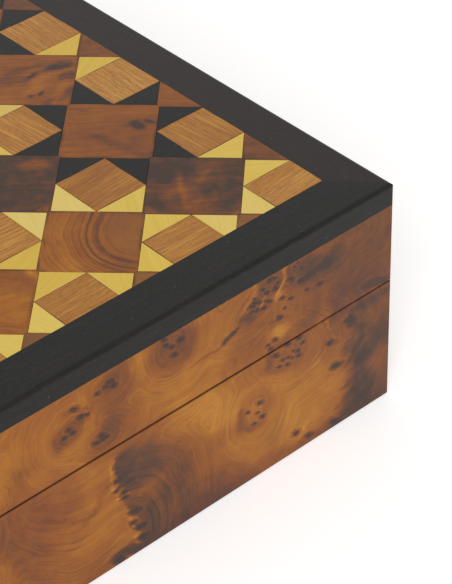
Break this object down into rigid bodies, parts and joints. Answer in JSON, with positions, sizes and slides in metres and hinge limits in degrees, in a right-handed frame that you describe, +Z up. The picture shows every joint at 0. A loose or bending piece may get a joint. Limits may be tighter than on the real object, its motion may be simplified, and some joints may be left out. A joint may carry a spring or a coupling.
{
  "type": "chess box with hinged lid",
  "caption": "Square wooden games box with mitred burl walls, a hinged lid with a marquetry top framed in ebony, and lined compartments.",
  "frame": {"origin": "middle of the box's underside", "axes": "+X along the front towards the right-hand end, +Y from the front to the hinged back, +Z up"},
  "size_m": [0.2954, 0.2934, 0.0752],
  "materials": {
    "burl": "satin varnished burl, red-brown to golden with dark eyes",
    "ebony": "satin varnished black wood with fine pores",
    "straight_grain_wood": "satin varnished tan wood with straight fine grain",
    "lemonwood": "satin varnished pale yellow wood",
    "liner_wood": "oiled cedar-like wood",
    "board": "plain sanded board",
    "brass": "brushed brass",
    "baize": "dark green wool baize"
  },
  "bodies": {
    "base": {"base_front_wall": "burl", "base_right_wall": "burl", "base_back_wall": "burl", "base_left_wall": "burl", "bottom_board": "board", "front_liner": "liner_wood", "right_liner": "liner_wood", "back_liner": "liner_wood", "left_liner": "liner_wood", "divider": "liner_wood", "left_floor_baize": "baize", "right_floor_baize": "baize", "left_hinge_base_leaf": "brass", "right_hinge_base_leaf": "brass", "left_hinge_pin": "brass", "right_hinge_pin": "brass", "base_hinge_screws": "brass"},
    "lid": {"lid_front_wall": "burl", "lid_right_wall": "burl", "lid_back_wall": "burl", "lid_left_wall": "burl", "lid_top_board": "board", "lid_baize": "baize", "ebony_front_strip": "ebony", "ebony_right_strip": "ebony", "ebony_back_strip": "ebony", "ebony_left_strip": "ebony", "marquetry_backing": "board", "straight_grain_squares": "straight_grain_wood", "burl_squares": "burl", "burl_edge_pieces": "burl", "lemonwood_triangles": "lemonwood", "ebony_triangles": "ebony", "left_hinge_lid_leaf": "brass", "right_hinge_lid_leaf": "brass", "lid_hinge_screws": "brass"}
  },
  "joints": [
    {"name": "lid_hinge", "type": "hinge", "parent": "base", "child": "lid", "pos_m": [0, 0.14425, 0.0419], "axis": [-1, 0, 0], "range_deg": [0, 100]}
  ]
}
